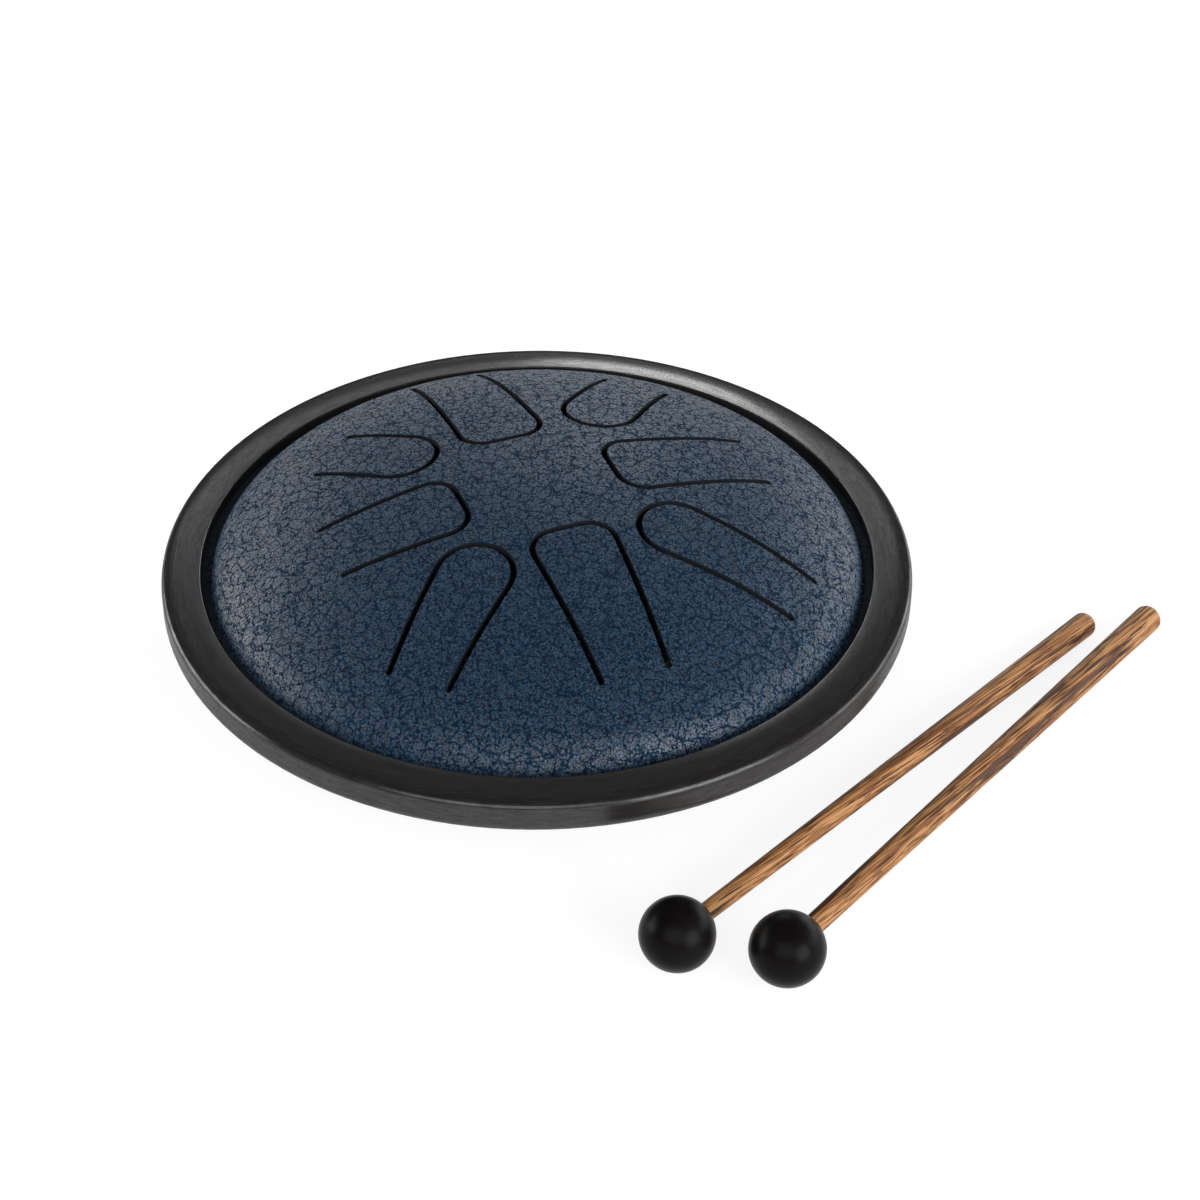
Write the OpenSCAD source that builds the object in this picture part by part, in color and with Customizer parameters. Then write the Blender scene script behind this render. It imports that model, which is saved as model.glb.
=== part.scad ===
// Small steel tongue drum with eight tongues and its pair of mallets.
// The origin is the centre of the sound hole, on the outer face of the bottom
// shell. Z points up through the dome. The feet reach below the origin.

/* [Drum] */
// Outer diameter of the rubber rim ring
drum_d = 180; // [150:1:220]
// Thickness of the steel sheet of both shells
shell_t = 1.5; // [1:0.1:2]
// Width of the flange at the seam, outside the shell wall
flange_w = 6.6; // [5:0.1:7]
// Bend radius between the shell wall and the flange
bend_r = 0.8; // [0.4:0.1:1.2]

/* [Dome] */
// Radius of the shallow crown in the middle of the dome
crown_r = 185; // [150:1:260]
// Radius of the steeper shoulder around the crown
shoulder_r = 94; // [80:1:120]
// Width of the shoulder, from the wall in towards the crown
shoulder_w = 34; // [26:1:42]
// Radius of the bend around the dome's edge
edge_r = 16.2; // [14:0.2:20]
// Slope of the dome's edge where it meets the seam, in degrees
edge_slope = 74.3; // [70:0.1:80]

/* [Tongues] */
// Width of the cut around a tongue
slot_w = 1.5; // [1:0.1:2]
// Distance from the shell wall to the root of the longest tongue
root_margin = 11.5; // [8:0.5:16]
// Distance from the drum's axis to the tip of a round tongue
round_tip_r = 27; // [24:0.5:30]
// Width of a round tongue near its tip
round_w = 18.1; // [14:0.1:20]
// Distance from the drum's axis to the tip of a square tongue
square_tip_r = 19; // [17:0.5:22]
// Width of a square tongue near its tip
square_w = 20.2; // [16:0.1:22]
// Corner radius of a square tongue
square_corner_r = 6.1; // [4:0.1:8]
// Direction of the first tongue, seen from above
first_tongue_angle = -113.1; // [-180:0.1:180]

/* [Bottom shell] */
// Radius of the bend between the flat base and the wall
pan_bend_r = 45; // [36:1:60]
// Width of that bend, from the wall in to the flat base
pan_bend_w = 33; // [26:1:35]
// Radius of the corner where that bend turns up into the wall
pan_corner_r = 2; // [1.8:0.1:3]
// Height of the lower wall, from the seam down to the corner's centre
pan_wall_h = 5.4; // [4:0.1:10]
// Diameter of the sound hole
sound_hole_d = 16; // [10:1:20]

/* [Rim ring] */
// Width of the ring's top
rim_w = 9.4; // [8.5:0.1:11]
// Width of the groove between the ring and the dome's edge at the seam
groove_w = 1.6; // [1:0.1:2.5]
// Thickness of the rubber above and below the seam
rim_arm_t = 2.9; // [2:0.1:4]
// Radius of the ring's top, which is slightly crowned
rim_crown_r = 24; // [18:1:40]
// Fall of the ring's top from its lip to its outer corner
rim_drop = 0.35; // [0.2:0.05:0.6]
// Radius of the ring's inner lips
lip_round = 0.35; // [0.2:0.05:0.6]
// Radius of the ring's upper outer corner
rim_top_round = 1.6; // [1:0.1:2]
// Radius of the ring's lower outer corner
rim_bottom_round = 2.9; // [2:0.1:3.5]
// Gap between the flange's edge and the bottom of the ring's channel
flange_gap = 0.3; // [0.1:0.1:0.6]

/* [Feet] */
// Diameter of a foot where it meets the shell
foot_d = 14; // [12:0.5:16]
// Height of a foot
foot_h = 5; // [4.5:0.5:8]
// Distance from a foot to the edge of the flat base
foot_edge = 3; // [2:0.5:6]
// Radius of a foot's lower edge
foot_round = 0.8; // [0.4:0.1:1.2]
// Amount that a foot's radius narrows towards the floor
foot_taper = 0.7; // [0.3:0.1:1]
// Rubber left between the screw's head and the shell
foot_web_t = 2.2; // [1.6:0.1:2.4]
// Diameter of the recess around the screw's head
foot_recess_d = 6.8; // [6.4:0.1:7.4]

/* [Foot screws] */
// Diameter of the screw
screw_d = 3; // [2.5:0.1:3.2]
// Diameter of the screw's head
screw_head_d = 5.6; // [5:0.1:6]
// Height of the screw's head
screw_head_h = 1.7; // [1.2:0.1:2]
// Length of the screw that stands out of the nut
screw_past = 0.8; // [0.4:0.1:1.4]
// Width of the nut across its flats
nut_flats = 5.5; // [5:0.1:6.5]
// Height of the nut
nut_h = 2.4; // [2:0.1:3]
// Gap around the screw in every hole that it passes
screw_gap = 0.1; // [0.05:0.05:0.3]

/* [Mallets] */
// Diameter of a mallet's rubber head
head_d = 17; // [15:0.5:20]
// Distance from the head's centre to the far end of the shaft
mallet_reach = 156.4; // [130:0.2:180]
// Diameter of the first shaft where it leaves the head
shaft_1_tip_d = 4.3; // [4:0.1:5.4]
// Diameter of the first shaft near its far end
shaft_1_end_d = 6.3; // [5.6:0.1:7.6]
// Diameter of the second shaft where it leaves the head
shaft_2_tip_d = 4.8; // [4:0.1:5.4]
// Diameter of the second shaft near its far end
shaft_2_end_d = 7; // [5.6:0.1:7.6]
// Radius of the rounded edge at a shaft's far end
shaft_end_round = 2.3; // [1.6:0.1:2.6]
// Diameter of the spigot that is glued into the head
spigot_d = 3.6; // [3:0.1:3.8]
// Depth of the spigot beyond the head's centre
spigot_past = 4; // [2:0.5:6]
// Glue gap around and below the spigot
glue_gap = 0.05; // [0.05:0.01:0.1]

/* [Mallets beside the drum] */
// Gap between the ring and the axis of the first mallet
mallet_1_gap = 5.6; // [5:0.1:20]
// Distance that the first head lies behind the point nearest to the drum
mallet_1_back = 58.4; // [40:0.2:70]
// Direction in which the first shaft points, seen from above
mallet_1_angle = 48.2; // [45:0.1:50]
// Gap between the two mallets, measured where each is nearest to the drum
mallet_2_gap = 17.3; // [15:0.1:30]
// Distance that the second head lies behind its point nearest to the drum
mallet_2_back = 53.2; // [40:0.2:70]
// Direction in which the second shaft points, seen from above
mallet_2_angle = 51.9; // [50:0.1:55]

/* [Hidden] */
$fn = 120;

// Overrun of every cut past the face that it opens
over = slot_w;

// The number of tongues, and their spacing
tongue_count = 8;
tongue_pitch = 360 / tongue_count;
// Root radius of each tongue as a share of the longest one's
root_shares = [0.95, 0.915, 1, 0.83, 0.895, 0.98, 0.81, 0.755];
// Tip radius of each tongue as a share of its kind's
tip_shares = [0.955, 0.985, 0.995, 1.005, 1.06, 1.04, 1.005, 1];
// Width of each tongue at its root as a share of its width near the tip
waist_shares = [0.82, 0.8, 0.83, 0.9, 0.91, 0.87, 0.95, 0.9];

// Radii that the ring, the shells and the tongues share
rim_r = drum_d / 2;
lip_r = rim_r - rim_w;
wall_r = lip_r - groove_w;
flange_r = wall_r + flange_w;
root_r = wall_r - root_margin;

// The bottom shell's arcs, from its flat base at height zero up to its wall
pan_flat_r = wall_r - pan_bend_w;
pan_bend_c = [pan_flat_r, pan_bend_r];
pan_bend_angle = asin((pan_bend_w - pan_corner_r) / (pan_bend_r - pan_corner_r));
pan_corner_c = [wall_r - pan_corner_r, pan_bend_r - (pan_bend_r - pan_corner_r) * cos(pan_bend_angle)];
seam_z = pan_corner_c[1] + pan_wall_h;

// The sheet's bends into the two flanges: the lower from an upright wall, the
// upper from the dome's edge, which it touches
bend_h = shell_t + bend_r;
pan_flange_c = [wall_r + bend_r, seam_z - bend_h];
edge_c = [wall_r - edge_r * sin(edge_slope), seam_z - edge_r * cos(edge_slope)];
edge_angle = acos((seam_z + bend_h - edge_c[1]) / (edge_r + bend_r));
dome_flange_c = edge_c + (edge_r + bend_r) * [sin(edge_angle), cos(edge_angle)];

// The dome's arcs, each tangent to the next, from its edge up to its centre
crown_reach = wall_r - shoulder_w;
crown_angle = asin(crown_reach / crown_r);
shoulder_x = crown_reach - shoulder_r * sin(crown_angle);
shoulder_angle = asin((edge_c[0] - shoulder_x) / (shoulder_r - edge_r));
shoulder_z = edge_c[1] - (shoulder_r - edge_r) * cos(shoulder_angle);
crown_z = shoulder_z - (crown_r - shoulder_r) * cos(crown_angle);
dome_top_z = crown_z + crown_r;

// Half the height of the rim ring
rim_half_h = shell_t + rim_arm_t;

// The ring's top: an arc that touches the lip's round and the outer corner's
rim_lip_c = [lip_r + lip_round, rim_half_h - lip_round];
rim_corner_c = [rim_r - rim_top_round, rim_half_h - rim_drop - rim_top_round];
rim_top_c = point_below(rim_lip_c, rim_crown_r - lip_round, rim_corner_c, rim_crown_r - rim_top_round);
rim_lip_angle = direction(rim_top_c, rim_lip_c);
rim_corner_angle = direction(rim_top_c, rim_corner_c);

// The feet stand on the floor and sit on a circle inside the flat base
foot_count = 3;
floor_z = -foot_h;
foot_circle_r = pan_flat_r - foot_d / 2 - foot_edge;
foot_pitch = 360 / foot_count;
foot_angle = 90;
screw_len = foot_web_t + shell_t + nut_h + screw_past;

// Distance from the drum's axis to each mallet's own axis
mallet_1_line = rim_r + mallet_1_gap;
mallet_2_line = mallet_1_line + mallet_2_gap;

// Steps of a small rounding, and of the bend at a tongue's tip
arc_steps = 8;
slot_steps = 10;

// Direction from point a to point b
function direction(a, b) = atan2(b[1] - a[1], b[0] - a[0]);

// How far along the line from a to b the point lies that is ra from a and rb from b
function reach_along(a, ra, b, rb) = (ra * ra - rb * rb + (b - a) * (b - a)) / (2 * norm(b - a));

// The point below the line from a to b that is ra from a and rb from b
function point_below(a, ra, b, rb) = a
    + reach_along(a, ra, b, rb) * (b - a) / norm(b - a)
    + sqrt(ra * ra - pow(reach_along(a, ra, b, rb), 2)) * [b[1] - a[1], a[0] - b[0]] / norm(b - a);

// Points of a path without its two ends
function between_ends(path) = [for (i = [1:len(path) - 2]) path[i]];

// Points of an arc about c from angle a0 to angle a1
function arc(c, r, a0, a1, steps = arc_steps) = [
    for (i = [0:steps]) c + r * [cos(a0 + (a1 - a0) * i / steps), sin(a0 + (a1 - a0) * i / steps)]
];

// Wedge with its point at c, between two directions measured from +Y
module wedge(c, a0, a1, reach) {
    polygon([c, c + reach * [sin(a0), cos(a0)], c + reach * [sin(a1), cos(a1)]]);
}

// Slice of a disc about c, between two directions measured from +Y
module slice(c, r, inset, a0, a1) {
    intersection() {
        translate(c) circle(r = r - inset);
        wedge(c, a0, a1, 2 * r);
    }
}

// Filled half section of the dome, inset from its outer face. Each smaller disc
// touches the larger one from inside, so their slices may overlap.
module dome_fill(inset) {
    intersection() {
        union() {
            slice([0, crown_z], crown_r, inset, 0, crown_angle);
            slice([shoulder_x, shoulder_z], shoulder_r, inset, 0, shoulder_angle);
            translate(edge_c) circle(r = edge_r - inset);
        }
        translate([0, seam_z]) square([drum_d, dome_top_z]);
    }
}

// Corner between the dome's edge and its flange, outside a circle about the
// bend, up to the height where that circle touches the edge
module dome_corner(r) {
    difference() {
        translate([edge_c[0], seam_z])
        square([dome_flange_c[0] - edge_c[0], dome_flange_c[1] - r * cos(edge_angle) - seam_z]);
        translate(dome_flange_c) circle(r = r);
    }
}

// Half section of the dome's sheet and its flange
module dome_section() {
    difference() {
        union() {
            dome_fill(0);
            dome_corner(bend_r);
            translate([edge_c[0], seam_z]) square([flange_r - edge_c[0], shell_t]);
        }
        dome_fill(shell_t);
        dome_corner(bend_h);
    }
}

// Filled half section of the bottom shell, inset from its outer face
module pan_fill(inset) {
    intersection() {
        union() {
            translate([0, inset]) square([pan_flat_r, seam_z]);
            slice(pan_bend_c, pan_bend_r, inset, 180, 180 - pan_bend_angle);
            translate(pan_corner_c) circle(r = pan_corner_r - inset);
            translate([0, pan_corner_c[1]]) square([wall_r - inset, pan_wall_h + over]);
        }
        square([drum_d, seam_z]);
    }
}

// Corner between the lower wall and its flange, outside a circle about the bend
module pan_corner(r) {
    difference() {
        translate([pan_flat_r, pan_flange_c[1]]) square([pan_flange_c[0] - pan_flat_r, bend_h]);
        translate(pan_flange_c) circle(r = r);
    }
}

// Half section of the bottom shell's sheet and its flange
module pan_section() {
    difference() {
        union() {
            pan_fill(0);
            pan_corner(bend_r);
            translate([pan_flat_r, seam_z - shell_t]) square([flange_r - pan_flat_r, shell_t]);
        }
        pan_fill(shell_t);
        pan_corner(bend_h);
    }
}

// Points of a path mirrored across the X axis
function flip(path) = [for (p = path) [p[0], -p[1]]];

// Points of a path in reverse order, without the last few
function turned(path, dropped = 0) = [for (i = [len(path) - 1 - dropped:-1:0]) path[i]];

// One edge of the cut around a tongue, from the root to the middle of the tip.
// It runs straight along the side, whose direction is side_angle, and then
// round the tip's corner, at distance d outside the tongue's own outline.
function slot_edge(root, corner, corner_r, side_angle, d) = concat(
    [root + d * [sin(side_angle), cos(side_angle)]],
    arc(corner, corner_r + d, 90 - side_angle, 180, slot_steps)
);

// Cut around one tongue in plan, its root towards +X: an open U with round ends
module tongue_slot(k) {
    square_kind = k % 2;
    tip_x = (square_kind ? square_tip_r : round_tip_r) * tip_shares[k];
    half_w = (square_kind ? square_w : round_w) / 2;
    corner_r = square_kind ? square_corner_r : half_w;
    corner = [tip_x + corner_r, half_w - corner_r];
    root = [root_r * root_shares[k], half_w * waist_shares[k]];
    side_angle = asin(corner_r / norm(root - corner)) - atan2(root[1] - corner[1], root[0] - corner[0]);
    shared = square_kind ? 0 : 1;
    outer = slot_edge(root, corner, corner_r, side_angle, slot_w / 2);
    inner = slot_edge(root, corner, corner_r, side_angle, -slot_w / 2);
    cap = [
        for (i = [1:arc_steps - 1]) root + slot_w / 2 * [
            cos(90 - side_angle - 180 * i / arc_steps), sin(90 - side_angle - 180 * i / arc_steps)
        ]
    ];
    polygon(concat(outer, flip(turned(outer, shared)), flip(cap), flip(inner), turned(inner, shared), turned(cap)));
}

// Pressed dome with its flange and the eight tongues cut through it
module top_shell() {
    color("#2b4259")
    difference() {
        rotate_extrude() dome_section();
        for (k = [0:tongue_count - 1]) {
            rotate(first_tongue_angle + k * tongue_pitch)
            translate([0, 0, seam_z + shell_t])
            linear_extrude(height = dome_top_z - seam_z) tongue_slot(k);
        }
    }
}

// Pressed pan with its flange, the sound hole and the foot screws' holes
module bottom_shell() {
    color("#2b4259")
    difference() {
        rotate_extrude() pan_section();
        translate([0, 0, -over]) cylinder(d = sound_hole_d, h = shell_t + 2 * over);
        for (k = [0:foot_count - 1]) {
            at_foot(k) translate([0, 0, -over]) cylinder(r = screw_d / 2 + screw_gap, h = shell_t + 2 * over);
        }
    }
}

// Moulded rubber ring whose channel grips both flanges
module rim_ring() {
    color("#26241f")
    translate([0, 0, seam_z])
    rotate_extrude() {
        difference() {
            polygon(concat(
                arc(rim_lip_c, lip_round, 180, rim_lip_angle),
                between_ends(arc(rim_top_c, rim_crown_r, rim_lip_angle, rim_corner_angle, 2 * arc_steps)),
                arc(rim_corner_c, rim_top_round, rim_corner_angle, 0),
                arc([rim_r - rim_bottom_round, rim_bottom_round - rim_half_h], rim_bottom_round, 0, -90),
                arc([lip_r + lip_round, lip_round - rim_half_h], lip_round, 270, 180)
            ));
            translate([lip_r - over, -shell_t]) square([flange_r + flange_gap - lip_r + over, 2 * shell_t]);
        }
    }
}

// Moves its children to the place of foot k
module at_foot(k) {
    rotate(foot_angle + k * foot_pitch) translate([foot_circle_r, 0, 0]) children();
}

// Rubber foot with a rounded lower edge and a recess for the screw's head
module foot(k) {
    base_r = foot_d / 2 - foot_taper;
    color("#1c1b1a")
    at_foot(k)
    difference() {
        rotate_extrude() {
            polygon(concat(
                [[0, 0], [0, floor_z]],
                arc([base_r - foot_round, floor_z + foot_round], foot_round, 270, 360),
                [[foot_d / 2, 0]]
            ));
        }
        translate([0, 0, floor_z - over]) cylinder(r = screw_d / 2 + screw_gap, h = foot_h + 2 * over);
        translate([0, 0, floor_z - over]) cylinder(d = foot_recess_d, h = foot_h - foot_web_t + over);
    }
}

// Screw that goes up through a foot and the shell
module foot_screw(k) {
    color("#b9bcc0")
    at_foot(k)
    translate([0, 0, -foot_web_t]) {
        cylinder(d = screw_d, h = screw_len);
        translate([0, 0, -screw_head_h]) cylinder(d = screw_head_d, h = screw_head_h);
    }
}

// Hexagon nut inside the shell
module foot_nut(k) {
    color("#a7abb0")
    at_foot(k)
    translate([0, 0, shell_t])
    difference() {
        cylinder(d = nut_flats / cos(180 / 6), h = nut_h, $fn = 6);
        translate([0, 0, -over]) cylinder(r = screw_d / 2 + screw_gap, h = nut_h + 2 * over);
    }
}

// Puts a mallet on the floor beside the drum. The mallet is drawn along +X from
// the head's centre, and it rests on its head and on the end of its shaft.
module beside_drum(line_r, behind, angle, end_d) {
    lean = asin((head_d - end_d) / 2 / (mallet_reach - shaft_end_round));
    rotate(angle)
    translate([-behind, -line_r, floor_z + head_d / 2])
    rotate([0, lean, 0])
    children();
}

// Turned shaft: glued spigot, straight taper and a rounded far end
module mallet_shaft(tip_d, end_d) {
    shoulder_at = sqrt(pow(head_d / 2, 2) - pow(tip_d / 2, 2));
    rotate([0, 90, 0])
    rotate_extrude() {
        polygon(concat(
            [[0, -spigot_past], [spigot_d / 2, -spigot_past], [spigot_d / 2, shoulder_at], [tip_d / 2, shoulder_at]],
            arc([end_d / 2 - shaft_end_round, mallet_reach - shaft_end_round], shaft_end_round, 0, 90),
            [[0, mallet_reach]]
        ));
    }
}

// Rubber ball with a blind bore for the spigot
module mallet_head(tip_d) {
    shoulder_at = sqrt(pow(head_d / 2, 2) - pow(tip_d / 2, 2));
    difference() {
        sphere(d = head_d);
        rotate([0, 90, 0]) {
            translate([0, 0, -spigot_past - glue_gap]) cylinder(r = spigot_d / 2 + glue_gap, h = head_d);
            translate([0, 0, shoulder_at]) cylinder(d = head_d, h = head_d);
        }
    }
}

module mallet_1_shaft() {
    color("#a9713f")
    beside_drum(mallet_1_line, mallet_1_back, mallet_1_angle, shaft_1_end_d)
    mallet_shaft(shaft_1_tip_d, shaft_1_end_d);
}

module mallet_1_head() {
    color("#1b1817")
    beside_drum(mallet_1_line, mallet_1_back, mallet_1_angle, shaft_1_end_d)
    mallet_head(shaft_1_tip_d);
}

module mallet_2_shaft() {
    color("#a9713f")
    beside_drum(mallet_2_line, mallet_2_back, mallet_2_angle, shaft_2_end_d)
    mallet_shaft(shaft_2_tip_d, shaft_2_end_d);
}

module mallet_2_head() {
    color("#1b1817")
    beside_drum(mallet_2_line, mallet_2_back, mallet_2_angle, shaft_2_end_d)
    mallet_head(shaft_2_tip_d);
}

top_shell();
bottom_shell();
rim_ring();
foot(0);  // foot_1
foot(1);  // foot_2
foot(2);  // foot_3
foot_screw(0);  // foot_screw_1
foot_screw(1);  // foot_screw_2
foot_screw(2);  // foot_screw_3
foot_nut(0);  // foot_nut_1
foot_nut(1);  // foot_nut_2
foot_nut(2);  // foot_nut_3
mallet_1_shaft();
mallet_1_head();
mallet_2_shaft();
mallet_2_head();
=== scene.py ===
"""Small steel tongue drum and its two mallets: finishes, floor, studio light and camera."""

import math

import bpy
import numpy as np
from mathutils import Matrix, Vector


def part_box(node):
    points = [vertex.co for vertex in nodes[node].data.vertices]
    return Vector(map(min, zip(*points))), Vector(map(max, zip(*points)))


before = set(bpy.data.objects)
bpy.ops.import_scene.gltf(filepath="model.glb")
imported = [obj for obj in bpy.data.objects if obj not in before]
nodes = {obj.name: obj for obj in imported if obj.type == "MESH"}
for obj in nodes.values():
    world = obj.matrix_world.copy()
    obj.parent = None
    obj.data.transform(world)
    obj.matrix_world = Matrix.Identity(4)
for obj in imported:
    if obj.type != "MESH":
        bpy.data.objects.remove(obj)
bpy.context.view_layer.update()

MM = 0.001

# Places on the drum, in millimetres: the plane where the shells meet, the height below which the
# dome's edge lies in the ring's groove, and the radius and height between which the ring's top
# rounds over into its outer wall.
SEAM_Z = 20.6
GROOVE_Z = 22.4
CREST_R = 88.4
CREST_Z = 24.35


# Node building


def add(tree, kind, inputs=None, **settings):
    """Adds a shader node. settings are its own options. inputs maps a socket's name or number
    to a value, or to the output of another node, which is then linked."""
    made = tree.nodes.new(kind)
    for name, value in settings.items():
        setattr(made, name, value)
    for name, value in (inputs or {}).items():
        if isinstance(value, bpy.types.NodeSocket):
            tree.links.new(value, made.inputs[name])
        else:
            made.inputs[name].default_value = value
    return made


def start_finish(name, **constants):
    """A new material with one Principled shader. constants are sockets that are the same all over
    the surface. Returns the material, its tree and the shader."""
    material = bpy.data.materials.new(name)
    material.use_nodes = True
    tree = material.node_tree
    tree.nodes.clear()
    values = {socket.replace("_", " "): value for socket, value in constants.items()}
    shader = add(tree, "ShaderNodeBsdfPrincipled", values)
    add(tree, "ShaderNodeOutputMaterial", {"Surface": shader.outputs[0]})
    return material, tree, shader


def finish_with(tree, shader, **patterns):
    """Links each pattern to the shader's socket of that name."""
    for socket, pattern in patterns.items():
        tree.links.new(pattern, shader.inputs[socket.replace("_", " ")])


def millimetres(tree):
    """The surface point in the drum's frame, in millimetres."""
    point = add(tree, "ShaderNodeTexCoord").outputs["Object"]
    return add(tree, "ShaderNodeVectorMath", {0: point, 3: 1 / MM}, operation="SCALE").outputs[0]


def maths(tree, operation, first, second=0.0):
    """The result of one Math node."""
    return add(tree, "ShaderNodeMath", {0: first, 1: second}, operation=operation).outputs[0]


def weighted(tree, first, first_weight, second, second_weight):
    """The sum of two numbers, each times its weight."""
    parts = (maths(tree, "MULTIPLY", first, first_weight), maths(tree, "MULTIPLY", second, second_weight))
    return maths(tree, "ADD", *parts)


def stretch(tree, point, factors):
    """The point with its three coordinates multiplied by factors."""
    return add(tree, "ShaderNodeVectorMath", {0: point, 1: factors}, operation="MULTIPLY").outputs[0]


def noise(tree, point, scale, detail=2.0, roughness=0.5, distortion=0.0):
    """Smooth noise from 0 to 1, with about scale humps per unit of point."""
    inputs = {"Vector": point, "Scale": scale, "Detail": detail}
    inputs.update({"Roughness": roughness, "Distortion": distortion})
    return add(tree, "ShaderNodeTexNoise", inputs).outputs["Fac"]


def border_distance(tree, point, scale):
    """Distance to the nearest border between random cells, about scale of them per unit of point."""
    inputs = {"Vector": point, "Scale": scale}
    return add(tree, "ShaderNodeTexVoronoi", inputs, feature="DISTANCE_TO_EDGE").outputs["Distance"]


def ramp(tree, value, low, high, smooth=True):
    """value mapped so that low gives 0 and high gives 1, with soft ends where smooth."""
    kind = "SMOOTHSTEP" if smooth else "LINEAR"
    inputs = {"Value": value, "From Min": low, "From Max": high}
    return add(tree, "ShaderNodeMapRange", inputs, interpolation_type=kind).outputs[0]


def between(tree, share, first, second):
    """Two colours mixed: share 0 is the first, 1 the second."""
    inputs = {"Factor": share, 6: first, 7: second}
    return add(tree, "ShaderNodeMix", inputs, data_type="RGBA").outputs[2]


def shade(tree, low, high, share):
    """A number between low and high, by share."""
    inputs = {"Value": share, "To Min": low, "To Max": high}
    return add(tree, "ShaderNodeMapRange", inputs).outputs[0]


def shade_all(tree, low, high, share):
    """The same as shade, for all three parts of a colour."""
    value = shade(tree, low, high, share)
    return add(tree, "ShaderNodeCombineXYZ", {0: value, 1: value, 2: value}).outputs[0]


def raise_surface(tree, shader, height, depth, strength=1.0, edge=0.0):
    """Bumps the surface by height times depth millimetres. edge rounds the look of sharp edges."""
    inputs = {"Height": height, "Distance": depth * MM, "Strength": strength}
    if edge:
        inputs["Normal"] = add(tree, "ShaderNodeBevel", {"Radius": edge * MM}, samples=4).outputs[0]
    finish_with(tree, shader, Normal=add(tree, "ShaderNodeBump", inputs).outputs[0])


def radius_of(tree, point):
    """Distance of the point from the drum's axis."""
    level = stretch(tree, point, (1.0, 1.0, 0.0))
    return add(tree, "ShaderNodeVectorMath", {0: level}, operation="LENGTH").outputs["Value"]


def height_of(tree, point):
    """Height of the point over the drum's origin, or the upward part of a direction."""
    return add(tree, "ShaderNodeSeparateXYZ", {0: point}).outputs[2]


# Finishes. Scales are in humps or cells per millimetre, depths and fades in millimetres

DEEP_NAVY = (0.0045, 0.0175, 0.044, 1), (0.0052, 0.0185, 0.046, 1)
PALE_NAVY = (0.0195, 0.076, 0.150, 1), (0.0225, 0.078, 0.151, 1)
# Painted shade: the near-black colour of the dome's coat in the ring's groove, on the walls of the cuts and
# inside the dome
PAINTED_SHADE_COAT = (0.015, 0.017, 0.021, 1)
RING_BLACK = (0.0125, 0.0115, 0.0110, 1), (0.027, 0.0254, 0.0245, 1)
FOOT_BLACK = (0.010, 0.010, 0.010, 1), (0.020, 0.020, 0.019, 1)
HEAD_BLACK = (0.0045, 0.0036, 0.0038, 1), (0.0075, 0.0062, 0.0062, 1)
SCREW_ZINC = (0.55, 0.56, 0.58)
NUT_ZINC = (0.50, 0.51, 0.53)
TAN_WOOD = (0.50, 0.243, 0.086, 1), (0.65, 0.333, 0.130, 1)
STREAK_BROWN = (0.26, 0.092, 0.026, 1)
BAND_BROWN = (0.085, 0.030, 0.010, 1)
PORE_BROWN = (0.035, 0.013, 0.006, 1)

# How far each shaft's grain is rolled about the shaft, in radians, by the mallet's number
GRAIN_TURNS = {1: 0.5, 2: 1.4}


def painted_shade_share(tree, height):
    """1 where the dome's coat is smooth and dull and its near-black colour is painted shade: down in
    the ring's groove, on the walls of the cuts and on the inner face. The last two are where the
    upward part of the surface's direction is small or below zero. 0 on the rest of the dome and on
    the whole pan."""
    groove_fade = 0.5
    flat_enough, too_steep = 0.30, 0.15
    low = ramp(tree, height, GROOVE_Z + groove_fade, GROOVE_Z - groove_fade)
    facing = add(tree, "ShaderNodeNewGeometry").outputs["True Normal"]
    steep = ramp(tree, height_of(tree, facing), flat_enough, too_steep)
    on_dome = maths(tree, "GREATER_THAN", height, SEAM_Z)
    return maths(tree, "MULTIPLY", maths(tree, "MAXIMUM", low, steep), on_dome)


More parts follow.
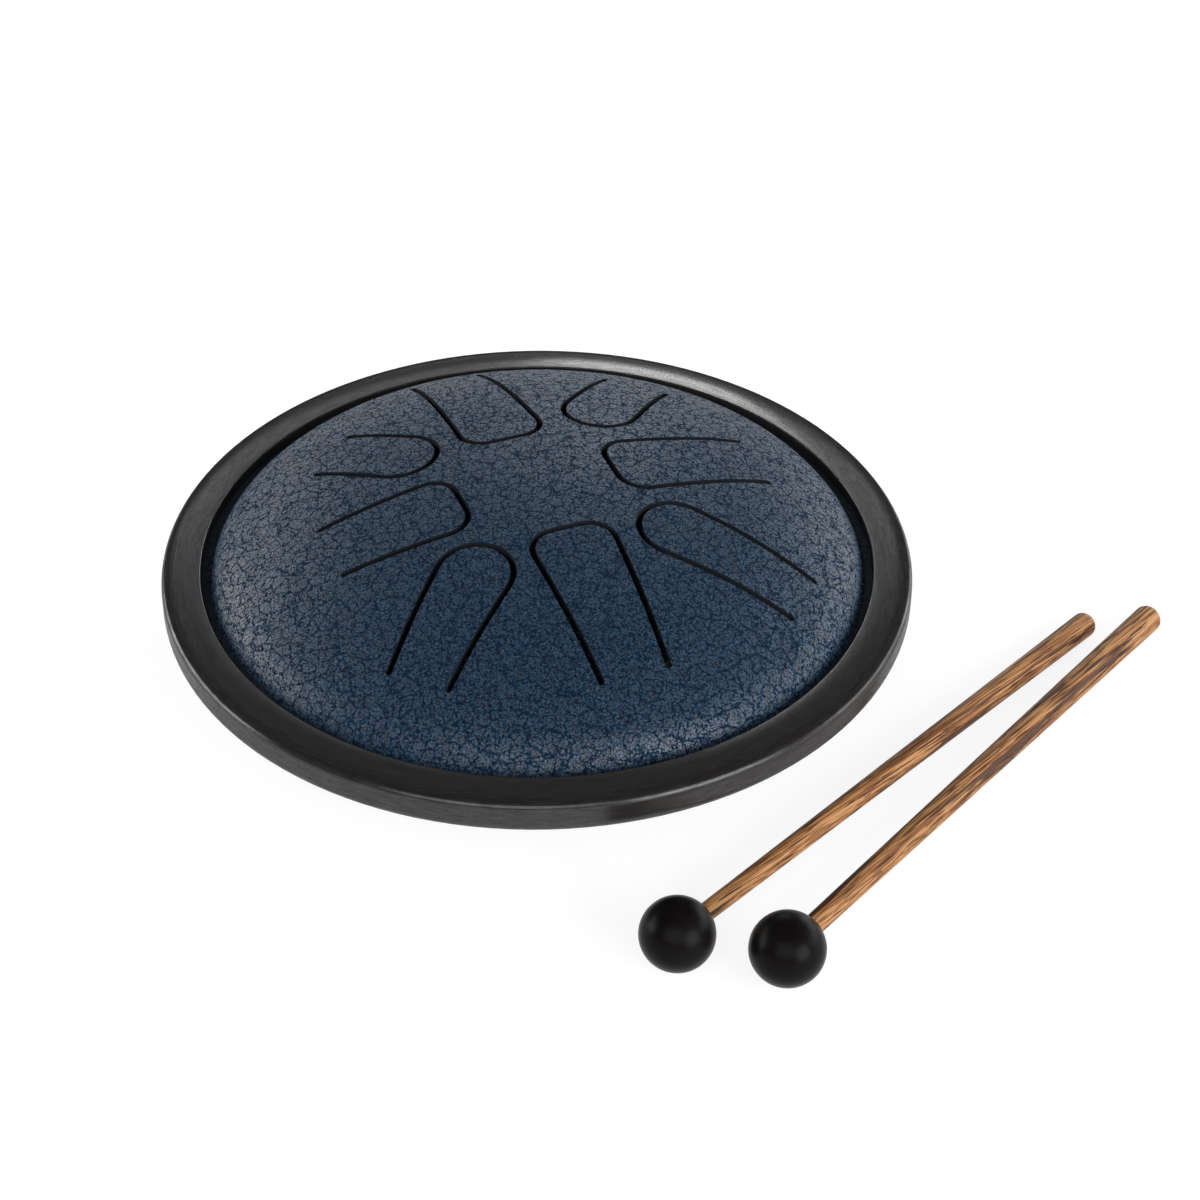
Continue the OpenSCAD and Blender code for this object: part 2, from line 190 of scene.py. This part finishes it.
def leather_powder_coat():
    """Navy powder coat that has wrinkled like leather. The point is pushed about by noise, so that
    the pebbles are irregular. Distance to the border of large and of small cells gives the creases
    between the pebbles. They are dull and darkened with painted shade, and the pebbles' tops have a
    sheen and are made a little paler, which is painted light. Fine noise speckles the colour. In the
    ring's groove, on the walls of the cuts and inside the dome the coat is smooth and dull, and
    painted shade makes it near-black."""
    push_scale, push_reach = 0.7, 1.6
    crease_scale, pebble_scale, speck_scale, drift_scale = 0.33, 1.45, 1.6, 0.03
    crease_half_width, pebble_round = 0.12, 0.40
    crease_height, speck_height, coat_depth, edge_round = 0.4, 0.5, 0.34, 0.2
    sheen_range, speck_range = (0.28, 0.60), (0.46, 0.70)
    painted_light_on_tops = 0.12
    crease_painted_shade = 0.78
    material, tree, shader = start_finish(
        "leather_powder_coat", Specular_IOR_Level=0.1, Coat_Roughness=0.5, Coat_IOR=1.7
    )
    point = millimetres(tree)
    wander = {"Vector": point, "Scale": push_scale, "Detail": 3.0}
    wander = add(tree, "ShaderNodeTexNoise", wander).outputs["Color"]
    pushed = {0: wander, 1: (push_reach,) * 3, 2: point}
    pushed = add(tree, "ShaderNodeVectorMath", pushed, operation="MULTIPLY_ADD").outputs[0]
    fine = noise(tree, point, speck_scale, 2.0, 0.6)
    creases = ramp(tree, border_distance(tree, pushed, crease_scale), 0.0, crease_half_width)
    pebbles = ramp(tree, border_distance(tree, pushed, pebble_scale), 0.0, pebble_round, smooth=False)
    tops = maths(tree, "SQRT", pebbles)
    tops = maths(tree, "MULTIPLY", tops, shade(tree, crease_height, 1.0, creases))
    specks = maths(tree, "MULTIPLY", maths(tree, "SUBTRACT", fine, 0.5), speck_height)
    tops = maths(tree, "ADD", tops, specks)
    sheen = ramp(tree, tops, *sheen_range)
    # Painted light: the pebbles' tops are made a little paler than the rest of the speckle
    speck = maths(tree, "ADD", fine, maths(tree, "MULTIPLY", tops, painted_light_on_tops))
    speck = ramp(tree, speck, *speck_range)
    drift = noise(tree, point, drift_scale)
    deep = between(tree, drift, *DEEP_NAVY)
    pale = between(tree, drift, *PALE_NAVY)
    # Painted shade: the colour is darkened in the creases between the pebbles
    navy_with_crease_shade = stretch(tree, between(tree, speck, deep, pale), shade_all(tree, crease_painted_shade, 1.0, sheen))
    # Painted shade: the dome's coat turns near-black in the ring's groove, on the walls of the cuts and
    # inside the dome
    thin = painted_shade_share(tree, height_of(tree, point))
    outside_painted_shade = maths(tree, "SUBTRACT", 1.0, thin)
    finish_with(
        tree,
        shader,
        Base_Color=between(tree, thin, navy_with_crease_shade, PAINTED_SHADE_COAT),
        Roughness=shade(tree, 0.9, 0.7, speck),
        Coat_Weight=maths(tree, "MULTIPLY", sheen, outside_painted_shade),
    )
    raise_surface(tree, shader, maths(tree, "MULTIPLY", tops, outside_painted_shade), coat_depth, edge=edge_round)
    return material


def ring_rubber():
    """Black rubber with fine turned lines. Noise that changes quickly over the radius and the height
    and slowly over the place makes short lines around the ring. The rounded crest between the top and
    the outer wall is duller than both, and the wall is duller than the top."""
    line_scale, line_length_share, grain_scale = 3.0, 0.07, 3.0
    crest_width, wall_fade = 2.4, 0.15
    line_share, grain_share = 0.6, 0.4
    tone_range = 0.32, 0.68
    streak_gloss, wall_gloss = 0.45, 0.55
    material, tree, shader = start_finish(
        "ring_rubber", Specular_IOR_Level=0.04, Coat_Roughness=0.23, Coat_IOR=2.0
    )
    point = millimetres(tree)
    radius = radius_of(tree, point)
    height = height_of(tree, point)
    place = stretch(tree, point, (line_length_share,) * 3)
    place = add(tree, "ShaderNodeSeparateXYZ", {0: place}).outputs
    turned = {0: maths(tree, "ADD", radius, height), 1: place[0], 2: place[1]}
    lines = noise(tree, add(tree, "ShaderNodeCombineXYZ", turned).outputs[0], line_scale, 4.0, 0.65)
    grain = noise(tree, point, grain_scale, 3.0, 0.6)
    tone = ramp(tree, weighted(tree, lines, line_share, grain, grain_share), *tone_range)
    wall = ramp(tree, height, CREST_Z + wall_fade, CREST_Z - wall_fade)
    open_face = maths(tree, "MAXIMUM", ramp(tree, radius, CREST_R, CREST_R - crest_width), wall)
    streaks = shade(tree, streak_gloss, 1.0, tone)
    gloss = maths(tree, "MULTIPLY", streaks, shade(tree, 1.0, wall_gloss, wall))
    finish_with(
        tree,
        shader,
        Base_Color=between(tree, tone, *RING_BLACK),
        Roughness=shade(tree, 0.75, 0.6, tone),
        Coat_Weight=maths(tree, "MULTIPLY", open_face, gloss),
    )
    raise_surface(tree, shader, tone, depth=0.03, strength=0.8)
    return material


def moulded_rubber(name, dark, light, rough, depth):
    """Black rubber from a mould: two scales of soft noise in tone, gloss and surface."""
    cloud_scale, grain_scale = 0.25, 3.0
    cloud_share, grain_share = 0.6, 0.4
    tone_range = 0.3, 0.7
    smoother, rougher = 0.04, 0.05
    material, tree, shader = start_finish(name, Specular_IOR_Level=0.07)
    point = millimetres(tree)
    cloud = noise(tree, point, cloud_scale, 3.0)
    grain = noise(tree, point, grain_scale, 3.0, 0.6)
    tone = ramp(tree, weighted(tree, cloud, cloud_share, grain, grain_share), *tone_range)
    finish_with(
        tree,
        shader,
        Base_Color=between(tree, tone, dark, light),
        Roughness=shade(tree, rough - smoother, rough + rougher, tone),
    )
    raise_surface(tree, shader, grain, depth, strength=0.6)
    return material


def plated_steel(name, colour, rough):
    """Zinc-plated steel with fine scratches along X and a faint bloom."""
    bloom_scale, scratch_scale, scratch_thinness = 0.9, 3.0, 6.0
    bloom_shade = 0.72
    smoother, rougher = 0.08, 0.12
    material, tree, shader = start_finish(name, Metallic=1.0)
    point = millimetres(tree)
    bloom = noise(tree, point, bloom_scale, 3.0)
    thin = stretch(tree, point, (1.0, scratch_thinness, scratch_thinness))
    scratches = noise(tree, thin, scratch_scale, 4.0)
    dull = tuple(bloom_shade * part for part in colour)
    finish_with(
        tree,
        shader,
        Base_Color=between(tree, bloom, (*dull, 1), (*colour, 1)),
        Roughness=shade(tree, rough - smoother, rough + rougher, scratches),
    )
    raise_surface(tree, shader, scratches, depth=0.01, strength=0.5)
    return material


def shaft_line(head, shaft):
    """The middle of the mallet's head and the direction of its shaft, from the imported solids."""
    low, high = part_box(head)
    centre = (low + high) / 2
    spots = np.empty(len(nodes[shaft].data.vertices) * 3)
    nodes[shaft].data.vertices.foreach_get("co", spots)
    spots = spots.reshape(-1, 3) - spots.reshape(-1, 3).mean(0)
    along = Vector(np.linalg.svd(spots, full_matrices=False)[2][0])
    low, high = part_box(shaft)
    return centre, along if along.dot((low + high) / 2 - centre) > 0 else -along


def along_the_grain(tree, head, shaft, turn):
    """The surface point measured along and across the shaft's grain, in millimetres, from the
    middle of the head. The grain runs a little askew of the shaft, and turn rolls it about it."""
    askew = 0.05
    centre, along = shaft_line(head, shaft)
    across = along.cross(Vector((0, 0, 1))).normalized()
    along = (along + askew * across).normalized()
    across = along.cross(Vector((0, 0, 1))).normalized()
    up = along.cross(across)
    rolled_across = math.cos(turn) * across + math.sin(turn) * up
    rolled_up = math.cos(turn) * up - math.sin(turn) * across
    to_grain = Matrix((along, rolled_across, rolled_up))
    point = add(tree, "ShaderNodeTexCoord").outputs["Object"]
    place = {"Vector": point, "Location": -(to_grain @ centre), "Rotation": to_grain.to_euler()}
    local = add(tree, "ShaderNodeMapping", place, vector_type="POINT").outputs[0]
    return add(tree, "ShaderNodeVectorMath", {0: local, 3: 1 / MM}, operation="SCALE").outputs[0]


def streaked_wood(name, head, shaft, turn):
    """Open-grained hardwood with dark streaks. Noise that is long along the grain and narrow across
    it makes the bands and streaks, and shorter, finer noise makes the open pores."""
    band_scale, streak_scale = (0.014, 0.55, 0.4), (0.035, 2.3, 1.6)
    pore_scale, warmth_scale = (0.10, 3.4, 3.0), (0.02, 0.4, 0.4)
    streak_range, band_range, pore_range = (0.45, 0.56), (0.535, 0.60), (0.57, 0.62)
    pore_strength = 0.85
    streak_height, pore_depth = 0.3, 0.7
    material, tree, shader = start_finish(name, Specular_IOR_Level=0.35)
    local = along_the_grain(tree, head, shaft, turn)
    bands = noise(tree, stretch(tree, local, band_scale), 1.0, 3.0, 0.6, 0.3)
    streaks = noise(tree, stretch(tree, local, streak_scale), 1.0, 3.0, 0.6)
    pores = noise(tree, stretch(tree, local, pore_scale), 1.0, 1.0)
    warmth = noise(tree, stretch(tree, local, warmth_scale), 1.0)
    tan = between(tree, warmth, *TAN_WOOD)
    brown = between(tree, ramp(tree, streaks, *streak_range), tan, STREAK_BROWN)
    banded = between(tree, ramp(tree, bands, *band_range), brown, BAND_BROWN)
    open_pores = ramp(tree, pores, *pore_range)
    pored = maths(tree, "MULTIPLY", open_pores, pore_strength)
    finish_with(
        tree,
        shader,
        Base_Color=between(tree, pored, banded, PORE_BROWN),
        Roughness=shade(tree, 0.5, 0.75, open_pores),
    )
    grain = weighted(tree, streaks, streak_height, open_pores, -pore_depth)
    raise_surface(tree, shader, grain, depth=0.08, strength=0.6)
    return material


def dress(material, *names):
    """Gives CAD nodes their finish."""
    for name in names:
        slots = nodes[name].data.materials
        slots.clear()
        slots.append(material)


dress(leather_powder_coat(), "top_shell", "bottom_shell")
dress(ring_rubber(), "rim_ring")
foot_rubber = moulded_rubber("foot_rubber", *FOOT_BLACK, rough=0.6, depth=0.03)
mallet_rubber = moulded_rubber("mallet_rubber", *HEAD_BLACK, rough=0.31, depth=0.02)
screw_steel = plated_steel("screw_steel", SCREW_ZINC, rough=0.34)
nut_steel = plated_steel("nut_steel", NUT_ZINC, rough=0.38)
for number in (1, 2, 3):
    dress(foot_rubber, f"foot_{number}")
    dress(screw_steel, f"foot_screw_{number}")
    dress(nut_steel, f"foot_nut_{number}")
for number, turn in GRAIN_TURNS.items():
    head, shaft = f"mallet_{number}_head", f"mallet_{number}_shaft"
    dress(mallet_rubber, head)
    dress(streaked_wood(f"shaft_{number}_wood", head, shaft, turn), shaft)


# Floor, light and camera

FLOOR_HALF = 6.0
FLOOR_WHITE = 0.28
FLOOR_DRIFT = 0.02
FLOOR_DRIFT_SCALE = 0.004
FLOOR_GLOW = 0.84
floor_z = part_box("foot_1")[0].z


def white_floor():
    """A wide pale sheet under the feet. It glows for the camera and in reflections, so that it
    shows as white there, and it keeps the shadow."""
    mesh = bpy.data.meshes.new("floor")
    corners = np.array([[-1, -1, 0], [1, -1, 0], [1, 1, 0], [-1, 1, 0]]) * FLOOR_HALF
    corners[:, 2] = floor_z
    mesh.from_pydata(corners.tolist(), [], [(0, 1, 2, 3)])
    floor = bpy.data.objects.new("floor", mesh)
    bpy.context.scene.collection.objects.link(floor)
    material, tree, shader = start_finish(
        "floor_white", Specular_IOR_Level=0.0, Roughness=1.0, Emission_Color=(1, 1, 1, 1)
    )
    tone = noise(tree, millimetres(tree), FLOOR_DRIFT_SCALE)
    white = between(tree, tone, (FLOOR_WHITE,) * 3 + (1,), (FLOOR_WHITE + FLOOR_DRIFT,) * 3 + (1,))
    rays = add(tree, "ShaderNodeLightPath").outputs
    seen = maths(tree, "MAXIMUM", rays["Is Camera Ray"], rays["Is Glossy Ray"])
    seen = maths(tree, "MAXIMUM", seen, rays["Is Transmission Ray"])
    glow = maths(tree, "MULTIPLY", seen, FLOOR_GLOW)
    finish_with(tree, shader, Base_Color=white, Emission_Strength=glow)
    mesh.materials.append(material)


def studio_world(horizon, ceiling):
    """Faint room light, of one grey at the horizon and another overhead."""
    world = bpy.data.worlds.new("studio")
    world.use_nodes = True
    tree = world.node_tree
    tree.nodes.clear()
    way = add(tree, "ShaderNodeTexCoord").outputs["Generated"]
    band_top, ceiling_start = 0.30, 0.75
    rise = ramp(tree, height_of(tree, way), band_top, ceiling_start)
    tone = between(tree, rise, (horizon,) * 3 + (1,), (ceiling,) * 3 + (1,))
    glow = add(tree, "ShaderNodeBackground", {"Color": tone, "Strength": 1.0}).outputs[0]
    add(tree, "ShaderNodeOutputWorld", {"Surface": glow})
    bpy.context.scene.world = world


def softbox(name, place, width, height, level):
    """A soft lamp at place that faces the middle of the drum. level is how bright its face looks,
    where 1 is a white card. The camera doesn't see it."""
    away = Vector(place) - Vector((0, 0, SEAM_Z * MM))
    lamp = bpy.data.lights.new(name, "AREA")
    lamp.shape = "RECTANGLE"
    lamp.size, lamp.size_y = width, height
    lamp.energy = level * math.pi * width * height
    box = bpy.data.objects.new(name, lamp)
    box.matrix_world = Matrix.Translation(Vector(place)) @ away.to_track_quat("Z", "Y").to_matrix().to_4x4()
    box.visible_camera = False
    bpy.context.scene.collection.objects.link(box)


# The lamps' names, places, widths and heights in metres, and levels. The cards near the back give
# the ring's top its bright patch, and the boxes at the sides give the dome's flanks their sheen.
LAMPS = (
    ("back_spot", (0.03, 0.22, 0.14), 0.065, 0.05, 5.1),
    ("back_card", (0.0, 0.22, 0.158), 0.30, 0.065, 0.7),
    ("far_back_card", (0.0, 0.9, 0.13), 1.2, 0.16, 1.7),
    ("left_card", (-0.27, 0.22, 0.16), 0.22, 0.07, 4.2),
    ("right_card", (0.28, 0.22, 0.09), 0.18, 0.17, 2.0),
    ("low_right_card", (0.18, 0.14, 0.065), 0.10, 0.06, 0.8),
    ("right_softbox", (1.12, 0.30, 0.31), 1.1, 0.5, 3.2),
    ("left_softbox", (-1.12, 0.30, 0.31), 1.1, 0.5, 5.1),
    ("front_right_softbox", (0.80, -0.80, 0.41), 0.8, 0.7, 6.0),
    ("front_softbox", (-0.20, -0.96, 0.69), 1.0, 0.8, 2.1),
)

white_floor()
studio_world(horizon=0.02, ceiling=0.05)
for lamp in LAMPS:
    softbox(*lamp)

# The camera looks down at the drum from the front. Its place was fitted to the outlines of the
# ring, the dome and the cuts around the tongues. The lens and the sensor are in millimetres.
VIEW_ELEVATION = math.radians(38.21)
VIEW_ROLL = math.radians(0.414)
VIEW_DISTANCE = 0.698
VIEW_LENS = 88.83
VIEW_SENSOR = 36
AIM = Vector((0.01509, -0.01787, 0.025))


def photo_camera():
    """The camera, VIEW_DISTANCE from AIM, turned about its own line of sight by VIEW_ROLL."""
    sight = Vector((0, math.cos(VIEW_ELEVATION), -math.sin(VIEW_ELEVATION)))
    right = Vector((1, 0, 0))
    up = right.cross(sight)
    turned_right = math.cos(VIEW_ROLL) * right + math.sin(VIEW_ROLL) * up
    turned_up = math.cos(VIEW_ROLL) * up - math.sin(VIEW_ROLL) * right
    turn = Matrix((turned_right, turned_up, -sight)).transposed().to_4x4()
    data = bpy.data.cameras.new("camera")
    data.lens = VIEW_LENS
    data.sensor_width = VIEW_SENSOR
    camera = bpy.data.objects.new("camera", data)
    camera.matrix_world = Matrix.Translation(AIM - sight * VIEW_DISTANCE) @ turn
    bpy.context.scene.collection.objects.link(camera)
    bpy.context.scene.camera = camera


photo_camera()
bpy.context.scene.view_settings.view_transform = "Standard"
